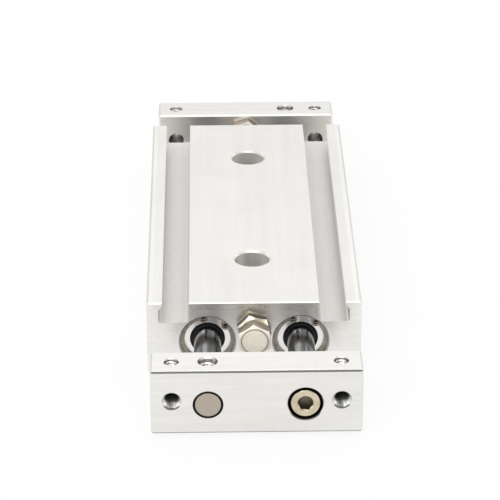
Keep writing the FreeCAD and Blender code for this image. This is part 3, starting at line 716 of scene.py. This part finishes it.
def roll(piece: Piece, degrees: float, axis: Point) -> None:
    """Turn a mesh about a line along Y.

    Args:
        piece: The object, at the origin.
        degrees: Angle by the right-hand rule about +Y.
        axis: X and Z of the line.
    """
    edit_all(piece)
    bpy.ops.transform.rotate(value=-math.radians(degrees), orient_axis="Y",
                             center_override=(axis[0] * MM, 0.0, axis[1] * MM))
    bpy.ops.object.mode_set(mode="OBJECT")


def modify(piece: Piece, kind: str, **settings: object) -> None:
    """Give a piece a modifier and apply it.

    Args:
        piece: The piece.
        kind: Type name of the modifier.
        settings: Its properties.
    """
    modifier = piece.modifiers.new(kind.title(), kind)
    for key, value in settings.items():
        setattr(modifier, key, value)
    activate(piece)
    bpy.ops.object.modifier_apply(modifier=modifier.name)


def smooth(piece: Piece, below: float) -> None:
    """Shade a piece smooth across edges below an angle in degrees."""
    activate(piece)
    bpy.ops.object.shade_smooth_by_angle(angle=math.radians(below))


class Tool(Enum):
    """What a tool does with the part of a piece that lies inside it."""

    REMOVES = "DIFFERENCE"
    KEEPS = "INTERSECT"


def combine(piece: Piece, tool: Piece, work: Tool) -> None:
    """Cut a piece with a tool, which is then deleted.

    Args:
        piece: The piece.
        tool: The tool.
        work: What the tool does.
    """
    modify(piece, "BOOLEAN", operation=work.value, solver="EXACT", object=tool)
    bpy.data.objects.remove(tool, do_unlink=True)


def soften(piece: Piece, width: float, angle: float = 25.0, segments: int = 2) -> None:
    """Round sharp edges and shade the rest smooth.

    Args:
        piece: The piece.
        width: Bevel width.
        angle: Edges sharper than this many degrees are rounded.
        segments: Segments across a bevel.
    """
    modify(piece, "BEVEL", width=width * MM, segments=segments, limit_method="ANGLE",
           angle_limit=math.radians(angle))
    smooth(piece, angle)


def join(pieces: Sequence[Piece], name: str) -> Piece:
    """Join closed shells into one object.

    Args:
        pieces: The shells.
        name: Name of the object.

    Returns:
        The object.
    """
    activate(pieces[0])
    for piece in pieces[1:]:
        piece.select_set(True)
    bpy.ops.object.join()
    rename(bpy.context.object, name)
    return bpy.context.object


@dataclass(frozen=True)
class Thread:
    """Radius of a thread ridge's base and of its edge, and its rise in one turn."""

    root: float
    crest: float
    pitch: float

    def ridge(self, length: float, steps: int = 40) -> Piece:
        """A helical ridge of triangular section round +Z, from Z = 0.

        Args:
            length: Length of the thread.
            steps: Straight runs in one turn.

        Returns:
            The ridge, a closed mesh.
        """
        half = self.pitch * THREAD_BASE / 2
        deep = (self.crest - self.root) / TRIANGLE_DEPTH
        bpy.ops.mesh.primitive_circle_add(vertices=3, radius=MM, fill_type="NOTHING",
                                          rotation=(math.pi / 2, math.pi / 2, 0.0))
        ridge = settle("ridge")
        edit_all(ridge)
        bpy.ops.transform.resize(value=(deep, 1.0, half / math.cos(math.pi / 6)),
                                 center_override=ORIGIN)
        bpy.ops.transform.translate(value=((self.root + deep / 2) * MM, 0.0, half * MM))
        bpy.ops.object.mode_set(mode="OBJECT")
        modify(ridge, "SCREW", axis="Z", screw_offset=self.pitch * MM, steps=steps,
               iterations=max(1, int((length - 2 * half) / self.pitch)))
        edit_all(ridge)
        bpy.ops.mesh.fill_holes(sides=3)
        bpy.ops.mesh.normals_make_consistent(inside=False)
        bpy.ops.object.mode_set(mode="OBJECT")
        return ridge


def lay(piece: Piece, where: Place, way: Axis) -> None:
    """Move a mesh made along +Z to its place.

    Args:
        piece: The object.
        where: X, Y and Z of its start.
        way: Direction that its axis gets, up or along the rods to the rear.
    """
    edit_all(piece)
    if way is Axis.ALONG:
        bpy.ops.transform.rotate(value=math.pi / 2, orient_axis="X", center_override=ORIGIN)
    bpy.ops.transform.translate(value=Vector(where) * MM)
    bpy.ops.object.mode_set(mode="OBJECT")


def box_mm(node: str) -> Tuple[Vector, Vector]:
    """Lowest and highest corner of a CAD node, in millimetres."""
    low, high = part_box(node)
    return low / MM, high / MM


def axis_of(node: str) -> Point:
    """X and Z of the middle of a CAD node, in millimetres."""
    low, high = box_mm(node)
    return (low.x + high.x) / 2, (low.z + high.z) / 2


def dress(piece: Piece, material: Material, body: Body) -> None:
    """Give a new piece its material and its body.

    Args:
        piece: The piece.
        material: Its material.
        body: The body it rides on.
    """
    piece.data.materials.clear()
    piece.data.materials.append(material)
    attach(piece, body.value)
    LOG.info("%s: %d faces on %s", piece.name, len(piece.data.polygons), body.value)


# ---- sub-assemblies
@dataclass
class CadFinishes:
    """Finishes of the pieces that keep their CAD shape, and the bores of their painted light and
    shade.
    """

    frame: dict
    rod_side: float = 13.75
    rod_rise: float = 10.6
    # radii, strengths and depths of the painted shade in bores and sockets, and behind the clips
    flush_end: float = 4.38
    sunk_head: float = 5.08
    tap_side: float = 24.0
    tap_rise: float = 11.8
    face_tap: float = 2.56
    face_tap_shade: float = 0.88
    face_tap_streak: float = 0.95
    face_tap_depths: Tuple[Span, Span] = ((-98.0, -94.6), (90.8, 88.8))
    plate_middle: float = 93.0
    top_tap: float = 2.14
    port: float = 2.9
    top_shade: float = 0.9
    block_holes: Span = (-31.1, 45.3)
    block_hole: float = 5.22
    socket: float = 2.5
    socket_shade: float = 0.85
    socket_depth: Span = (98.6, 98.2)
    stop_axis: Point = (0.0, 15.4)
    clip_hole_circle: float = 7.05
    clip_hole: float = 0.72
    clip_hole_angles: Tuple[Tuple[int, float], ...] = (
        (-1, 98.5), (-1, 40.5), (1, 109.0), (1, 51.0))

    def plate_bores(self, end: End) -> PaintedBores:
        """Painted shade in an end plate's bores; the rod ends flush left in front, right behind."""
        flush = self.rod_side * end.value
        return (PaintedBore(Axis.ALONG, (flush, self.rod_rise), self.flush_end),
                PaintedBore(Axis.ALONG, (-flush, self.rod_rise), self.sunk_head),
                *self.thread_bores(end))

    def thread_bores(self, end: End) -> PaintedBores:
        """Painted shade in the tapped holes and air port of an end plate.

        Args:
            end: The plate's end.

        Returns:
            The bores of the face taps, the top taps and the port.
        """
        in_front = end is End.FRONT
        return (
            PaintedBore(Axis.ALONG, (self.tap_side, self.tap_rise), self.face_tap, self.face_tap_shade,
                 both_sides=True, depth=self.face_tap_depths[0 if in_front else 1],
                 streak=self.face_tap_streak if in_front else 0.0),
            PaintedBore(Axis.UP, (self.tap_side, self.plate_middle), self.top_tap, self.top_shade,
                 both_sides=True, both_ends=True, flanks=True),
            PaintedBore(Axis.UP, (self.rod_side * end.value, self.plate_middle * end.value), self.port,
                 self.top_shade, flanks=True),
        )

    def clip_hole_shadows(self) -> PaintedBores:
        """Painted shadows on the front covers, behind the holes in the clips' ears.

        Returns:
            Their bores.
        """
        bores = []
        for side, degrees in self.clip_hole_angles:
            angle = math.radians(degrees)
            spot = (side * self.rod_side + self.clip_hole_circle * math.cos(angle),
                    self.rod_rise + self.clip_hole_circle * math.sin(angle))
            bores.append(PaintedBore(Axis.ALONG, spot, self.clip_hole))
        return tuple(bores)

    def plate(self, end: End, name: str) -> AnodisedAluminium:
        """Finish of an end plate."""
        return AnodisedAluminium(name, grain=Axis.ACROSS, line_tint=0.13, roughness=0.3,
                                 painted_edge_from=98.55, bores=self.plate_bores(end))

    def sockets(self) -> PaintedBores:
        """Painted shade in the sockets of the rod screws, front right and rear left."""
        return tuple(
            PaintedBore(Axis.ALONG, (side * self.rod_side, self.rod_rise), self.socket,
                 self.socket_shade, depth=tuple(-side * depth for depth in self.socket_depth))
            for side in (1, -1))

    def dress(self) -> None:
        """Paint every CAD node."""
        finishes = {
            # the housing's block holes take a pale painted colour: painted light on their walls
            "housing_aluminium": AnodisedAluminium(
                "housing_anodised", line_tint=0.11, blotch_tint=0.06, end_metallic=0.9,
                end_roughness=-0.06, skin=ExtrusionSkinAndPaintedLight(), bore_painted_colour=(0.89, 0.877, 0.846),
                bores=tuple(PaintedBore(Axis.UP, (0.0, y), self.block_hole) for y in self.block_holes)),
            "front_plate": self.plate(End.FRONT, "front_plate_anodised"),
            "rear_plate": self.plate(End.REAR, "rear_plate_anodised"),
            # the covers carry painted shadows behind the clips' ears
            "cover_aluminium": AnodisedAluminium("cover_turned", (0.95, 0.94, 0.92), 0.24, 0.9,
                                                 end_metallic=0.95, bores=self.clip_hole_shadows()),
            "piston_aluminium": AnodisedAluminium("piston_turned", (0.74, 0.73, 0.71), 0.3),
            "bush_bronze": PlatedSteel("bush_bronze", (0.50, 0.33, 0.16), (0.42, 0.26, 0.12)),
            "seal_rubber": Elastomer("seal_rubber", (0.012, 0.012, 0.012), 0.6),
            "bumper_urethane": Elastomer("bumper_urethane", (0.42, 0.26, 0.07), 0.45),
            "clip_steel": PlatedSteel("clip_phosphated", (0.4, 0.36, 0.3), (0.27, 0.24, 0.2), 0.38),
            "rod_chrome": GroundRod("rod_ground"),
            "screw_steel": PlatedSteel("screw_plated", (0.68, 0.60, 0.45), (0.58, 0.50, 0.37),
                                       bores=self.sockets()),
            "bolt_zinc": PlatedSteel("bolt_plated", (0.99, 0.93, 0.81), (0.92, 0.85, 0.72), 0.2,
                                     self.stop_axis, face_metallic=0.05, face_roughness=0.3,
                                     side_shade_colour=(0.34, 0.29, 0.23), painted_line_radius=3.87),
            "nut_zinc": PlatedSteel("nut_plated", (0.88, 0.80, 0.68), (0.78, 0.70, 0.58), 0.2,
                                    self.stop_axis, side_shade_colour=(0.20, 0.165, 0.125)),
            "plug_steel": PlatedSteel("ball_ground", (0.60, 0.60, 0.61), (0.50, 0.50, 0.51)),
            "magnet": Elastomer("magnet_bonded", (0.03, 0.03, 0.032), 0.5),
        }
        built = {key: finish.material() for key, finish in finishes.items()}
        for row in self.frame["record"]["subparts"]:
            node = row["node"]
            material = built.get(node) or built[row["material_slot"]]
            for holder in self.frame["nodes"][node].material_slots:
                holder.material = material
            LOG.info("%s painted with %s", node, material.name)


@dataclass
class HexPiece:
    """A hexagon with turned-off corners, as a bolt head or a nut."""

    flats: float
    ends: Span
    axis: Point
    roll: float
    face_share: float = 0.86
    chamfer_start: bool = True
    chamfer_end: bool = True
    chamfer_angle: float = 30.0

    def build(self, name: str, corner_up: bool) -> Piece:
        """Make the hexagon.

        Args:
            name: Name of the object.
            corner_up: Whether a corner points up before the roll.

        Returns:
            The piece.
        """
        corner = self.flats / math.sqrt(3)
        piece = cylinder(name, corner, self.ends, self.axis, HEX_SIDES)
        roll(piece, self.roll + (0.0 if corner_up else HEX_STEP), self.axis)
        face = self.flats / 2 * self.face_share
        length = self.ends[1] - self.ends[0]
        wide = face + length / math.tan(math.radians(self.chamfer_angle))
        for chamfered, radii in ((self.chamfer_start, (face, wide)),
                                 (self.chamfer_end, (wide, face))):
            if chamfered:
                combine(piece, turned("tool", radii, self.ends, self.axis, CONE_SIDES), Tool.KEEPS)
        return piece


@dataclass
class StopBolt:
    """Hexagon-head stop bolt with its thread."""

    end: End
    node: str
    body: Body
    material: Material
    roll: float
    flats: float = 9.0
    head: float = 4.0
    head_round: float = 0.09
    thread: Thread = Thread(2.45, 3.0, 1.0)
    thread_inset: float = 0.2
    core_gain: float = 0.03
    core_overlap: float = 0.02
    point: float = 0.3
    point_angle: float = 40.0

    def build(self) -> None:
        """Make the bolt in place of its CAD solid."""
        low, high = box_mm(self.node)
        axis = axis_of(self.node)
        faced = self.end is End.FRONT
        outer, tip = (low.y, high.y) if faced else (high.y, low.y)
        inner = outer - self.head * self.end.value
        head = HexPiece(self.flats, tuple(sorted((outer, inner))), axis, self.roll,
                        chamfer_start=faced, chamfer_end=not faced).build("head", True)
        soften(head, self.head_round)
        near, far = sorted((inner, tip))
        core = cylinder("core", self.thread.root + self.core_gain,
                        (near - self.core_overlap, far), axis)
        soften(core, self.point, self.point_angle, 1)
        ridge = self.thread.ridge(far - near - 2 * self.thread_inset)
        lay(ridge, (axis[0], near + self.thread_inset, axis[1]), Axis.ALONG)
        smooth(ridge, SMOOTH_BELOW)
        bolt = join([head, core, ridge], f"{self.node}_detailed")
        dress(bolt, self.material, self.body)
        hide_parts(self.node)


@dataclass
class LockNuts:
    """Thin lock nuts of both stop bolts."""

    material: Material
    flats: float = 9.0
    face_share: float = 0.9
    thickness: float = 3.2
    bore: float = 3.05
    edge_round: float = 0.1
    front_roll: float = 14.0
    rear_roll: float = 5.0

    def build(self) -> None:
        """Make both nuts in place of their CAD solids."""
        low, high = box_mm("lock_nuts")
        axis = axis_of("front_stop_bolt")
        nuts = []
        for start, turn in ((low.y, self.front_roll), (high.y - self.thickness, self.rear_roll)):
            end = start + self.thickness
            nut = HexPiece(self.flats, (start, end), axis, turn, self.face_share)
            nut = nut.build("nut", False)
            tool = cylinder("tool", self.bore, (start - OVERSHOOT, end + OVERSHOOT), axis)
            combine(nut, tool, Tool.REMOVES)
            soften(nut, self.edge_round)
            nuts.append(nut)
        pair = join(nuts, "lock_nuts_detailed")
        dress(pair, self.material, Body.HOUSING)
        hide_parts("lock_nuts")


@dataclass
class RodScrew:
    """Socket-head screw sunk in an end plate, with a knurled head."""

    end: End
    axis: Point
    face: float
    roll: float
    head_radius: float = 4.25
    head_height: float = 5.0
    shank_radius: float = 2.5
    shank_length: float = 16.0
    shank_overlap: float = 0.01
    shank_sides: int = 48
    socket_flats: float = 4.0
    socket_depth: float = 2.5
    mouth_gain: float = 0.05
    mouth_depth: float = 0.4
    rim: float = 0.25
    edge_round: float = 0.05
    round_above: float = 30.0
    knurls: int = 48
    knurl_share: float = 0.975

    def span(self, near: float, far: float) -> Span:
        """Y range, in order, between two depths below the screw's face."""
        way = -self.end.value
        return tuple(sorted((self.face + near * way, self.face + far * way)))

    def cone(self, radii: Span, near: float, far: float) -> Piece:
        """A cone tool, by its outer and inner radius and their depths below the face."""
        ordered = radii if self.end is End.FRONT else radii[::-1]
        return turned("tool", ordered, self.span(near, far), self.axis, CONE_SIDES)

    def build(self) -> Piece:
        """Make the screw.

        Returns:
            The screw.
        """
        head = cylinder("head", self.head_radius, self.span(0.0, self.head_height), self.axis,
                        self.knurls * 2)
        self.knurl(head)
        narrow, below = self.head_radius - self.rim, self.head_height + OVERSHOOT
        combine(head, self.cone((narrow, narrow + below), 0.0, below), Tool.KEEPS)
        corner = self.socket_flats / math.sqrt(3)
        socket = cylinder("tool", corner, self.span(-OVERSHOOT, self.socket_depth), self.axis,
                          HEX_SIDES)
        roll(socket, self.roll + HEX_STEP, self.axis)
        combine(head, socket, Tool.REMOVES)
        mouth = corner + self.mouth_gain
        combine(head, self.cone((mouth + OVERSHOOT, mouth - self.mouth_depth), -OVERSHOOT,
                                self.mouth_depth), Tool.REMOVES)
        soften(head, self.edge_round, self.round_above)
        shank = cylinder("shank", self.shank_radius,
                         self.span(self.head_height - self.shank_overlap,
                                   self.head_height + self.shank_length),
                         self.axis, self.shank_sides)
        return join([head, shank], f"rod_screw_{self.end.name.lower()}")

    def knurl(self, head: Piece) -> None:
        """Flute the side of the head.

        Args:
            head: The head, whose side has two corners to a flute.
        """
        activate(head)
        centre = Vector((self.axis[0] * MM, 0.0, self.axis[1] * MM))
        for vertex in head.data.vertices:
            arm = vertex.co - centre
            step = math.atan2(arm.z, arm.x) / math.pi * self.knurls
            vertex.select = round(step) % 2 == 0
        bpy.ops.object.mode_set(mode="EDIT")
        bpy.context.tool_settings.mesh_select_mode = (True, False, False)
        bpy.ops.transform.resize(value=(self.knurl_share, 1.0, self.knurl_share),
                                 center_override=(centre.x, head.data.vertices[0].co.y, centre.z))
        bpy.ops.object.mode_set(mode="OBJECT")


@dataclass
class RodScrews:
    """The two rod screws, front right and rear left."""

    material: Material
    front_roll: float = 10.0
    rear_roll: float = -22.0

    def build(self) -> None:
        """Make both screws in place of their CAD solids."""
        low, high = box_mm("rod_screws")
        screws = [
            RodScrew(End.FRONT, axis_of("right_rod"), low.y, self.front_roll).build(),
            RodScrew(End.REAR, axis_of("left_rod"), high.y, self.rear_roll).build(),
        ]
        pair = join(screws, "rod_screws_detailed")
        dress(pair, self.material, Body.FRAME)
        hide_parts("rod_screws")


@dataclass
class PlateThreads:
    """Threads in the tapped holes and air ports of the two end plates."""

    finishes: CadFinishes
    m5: Thread = Thread(2.52, 2.1, 0.8)
    m4: Thread = Thread(2.02, 1.66, 0.7)
    tap_pitch: float = 48.0
    tap_rise: float = 1.2
    lead: float = 0.35
    face_depth: float = 12.0
    top_depth: float = 6.0
    port_depth: float = 4.2
    port_lead: float = 0.45

    def build(self) -> None:
        """Make the thread of each hole."""
        face = self.m5.ridge(self.face_depth - 2 * self.lead)
        top = self.m4.ridge(self.top_depth - self.lead)
        port = self.m5.ridge(self.port_depth - self.port_lead)
        for end, node, port_rod in ((End.FRONT, "front_plate", "left_rod"),
                                    (End.REAR, "rear_plate", "right_rod")):
            # the cut thread takes the painted shade of its hole's bores
            cut = AnodisedAluminium(f"{node}_thread_cut", (0.80, 0.79, 0.76), 0.3, 0.9,
                                    bores=self.finishes.thread_bores(end)).material()
            low, high = box_mm(node)
            rod_x, rod_z = axis_of(port_rod)
            middle = (low.y + high.y) / 2
            for name, side in (("left", -1), ("right", 1)):
                x = side * self.tap_pitch / 2
                self.fit(face, f"{node}_face_thread_{name}", Axis.ALONG, cut,
                         (x, low.y + self.lead, rod_z + self.tap_rise))
                self.fit(top, f"{node}_top_thread_{name}", Axis.UP, cut,
                         (x, middle, high.z - self.top_depth))
            self.fit(port, f"{node}_port_thread", Axis.UP, cut,
                     (rod_x, middle, high.z - self.port_depth))
        for pattern in (face, top, port):
            bpy.data.objects.remove(pattern, do_unlink=True)

    def fit(self, pattern: Piece, name: str, way: Axis, cut: Material, where: Place) -> None:
        """Copy a thread into its hole and dress it.

        Args:
            pattern: The thread.
            name: Name of the copy.
            way: Where its axis points.
            cut: Its material.
            where: X, Y and Z of its start.
        """
        piece = pattern.copy()
        piece.data = pattern.data.copy()
        rename(piece, name)
        bpy.context.collection.objects.link(piece)
        lay(piece, where, way)
        smooth(piece, SMOOTH_BELOW)
        dress(piece, cut, Body.FRAME)


# ---- studio
@dataclass(frozen=True)
class Softbox:
    """A rectangular lamp, in metres, as bright as its radiance, where 1 shows as white."""

    name: str
    sides: Tuple[float, float]
    at: Place
    aim: Place
    radiance: float

    def build(self) -> None:
        """Make the lamp."""
        data = bpy.data.lights.new(self.name, "AREA")
        data.shape = "RECTANGLE"
        data.size, data.size_y = self.sides
        data.energy = self.radiance * math.pi * self.sides[0] * self.sides[1]
        lamp = bpy.data.objects.new(self.name, data)
        lamp.location = self.at
        facing = Vector(self.aim) - Vector(self.at)
        lamp.rotation_euler = facing.to_track_quat("-Z", "Y").to_euler()
        lamp.visible_camera = False
        bpy.context.collection.objects.link(lamp)


@dataclass
class Studio:
    """Pale floor, soft light and camera."""

    camera_at: Place = (-12.709, -734.201, 363.586)
    look_at: Place = (-0.121, 0.0, 11.343)
    tilt: float = -0.143
    lens: float = 185.54
    floor_size: float = 6.0
    floor_colour: Colour = (0.9, 0.9, 0.9)
    floor_roughness: float = 0.9
    floor_seen: float = 0.85
    floor_mirrored: float = 0.75
    floor_brightens: Span = (110.0, 420.0)
    overhead: float = 0.15
    behind: float = 0.43
    behind_from: Span = (0.0, 0.6)
    beside: float = 1.3
    beside_from: Span = (0.55, 0.85)
    beside_below: Span = (0.8, 0.3)
    before: float = 1.0
    before_from: Span = (0.3, 0.8)
    before_below: Span = (0.6, 0.2)
    softboxes: Tuple[Softbox, ...] = (
        Softbox("softbox_above", (0.9, 1.5), (0.0, 0.465, 0.42), (0.0, 0.465, 0.0), 0.6),
        Softbox("fill_front", (0.8, 0.8), (-0.45, -1.2, 0.95), (0.0, 0.0, 0.0), 3.6),
        Softbox("strip_front", (0.9, 0.16), (0.0, -0.42, 0.84), (0.0, 0.0, 0.02), 3.0),
    )

    def build(self) -> None:
        """Make the studio."""
        self.floor()
        self.world()
        for softbox in self.softboxes:
            softbox.build()
        self.camera()
        bpy.context.scene.view_settings.view_transform = "Standard"

    def floor(self) -> None:
        """A pale floor that keeps a soft shadow and meets a white background."""
        bpy.ops.mesh.primitive_plane_add(size=self.floor_size, location=ORIGIN)
        plane = bpy.context.object
        plane.name = "floor"
        graph = Finish("floor_white")
        graph.set(base_color=self.floor_colour, roughness=self.floor_roughness)
        x, y, _ = graph.place()
        path = graph.node("ShaderNodeLightPath")
        camera, glossy, through = (
            Wire(graph, path.outputs[f"Is {ray} Ray"])
            for ray in ("Camera", "Glossy", "Transmission"))
        away = (x * x + y * y).root().ramp(*self.floor_brightens)
        mirrored = self.floor_mirrored + away * (1 - self.floor_mirrored)
        seen = camera * self.floor_seen + glossy.most(through) * mirrored
        glow = graph.node("ShaderNodeEmission", {"Color": (1, 1, 1, 1)})
        mixed = graph.node("ShaderNodeMixShader",
                           {0: seen, 1: graph.shader.outputs[0], 2: glow.outputs[0]})
        graph.close(mixed.outputs[0])
        plane.data.materials.append(graph.material)

    def world(self) -> None:
        """Soft surround: dim overhead, brighter all round it, and white to the camera."""
        world = bpy.data.worlds.new("studio")
        bpy.context.scene.world = world
        world.use_nodes = True
        graph = Graph(world.node_tree, "ShaderNodeOutputWorld")
        x, y, z = graph.split(graph.node("ShaderNodeTexCoord").outputs["Generated"])
        behind = y.ramp(*self.behind_from) * self.behind
        beside = abs(x).ramp(*self.beside_from) * z.ramp(*self.beside_below) * self.beside
        before = (0.0 - y).ramp(*self.before_from) * z.ramp(*self.before_below) * self.before
        light = self.overhead + behind + beside + before
        soft = graph.node("ShaderNodeBackground", {"Color": graph.vector(light, light, light)})
        white = graph.node("ShaderNodeBackground", {"Color": (1, 1, 1, 1)})
        path = graph.node("ShaderNodeLightPath")
        mixed = graph.node("ShaderNodeMixShader", {
            0: path.outputs["Is Camera Ray"], 1: soft.outputs[0], 2: white.outputs[0]})
        graph.close(mixed.outputs[0])

    def camera(self) -> None:
        """The camera, far off in front of the part and raised."""
        data = bpy.data.cameras.new("camera")
        data.lens = self.lens
        camera = bpy.data.objects.new("camera", data)
        bpy.context.collection.objects.link(camera)
        at, target = Vector(self.camera_at) * MM, Vector(self.look_at) * MM
        aimed = (target - at).to_track_quat("-Z", "Y").to_matrix().to_4x4()
        rolled = Matrix.Rotation(math.radians(self.tilt), 4, "Z")
        camera.matrix_world = Matrix.Translation(at) @ aimed @ rolled
        bpy.context.scene.camera = camera


def main() -> None:
    """Dress the frame, make the new pieces and set the studio."""
    logging.basicConfig(level=logging.INFO, format="%(name)s: %(message)s")
    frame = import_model()
    finishes = CadFinishes(frame)
    finishes.dress()
    materials = bpy.data.materials
    StopBolt(End.FRONT, "front_stop_bolt", Body.FRONT_STOP, materials["bolt_plated"],
             roll=-4.0).build()
    StopBolt(End.REAR, "rear_stop_bolt", Body.REAR_STOP, materials["bolt_plated"],
             roll=10.0).build()
    LockNuts(materials["nut_plated"]).build()
    RodScrews(materials["screw_plated"]).build()
    PlateThreads(finishes).build()
    Studio().build()


if __name__ == "__main__":
    main()
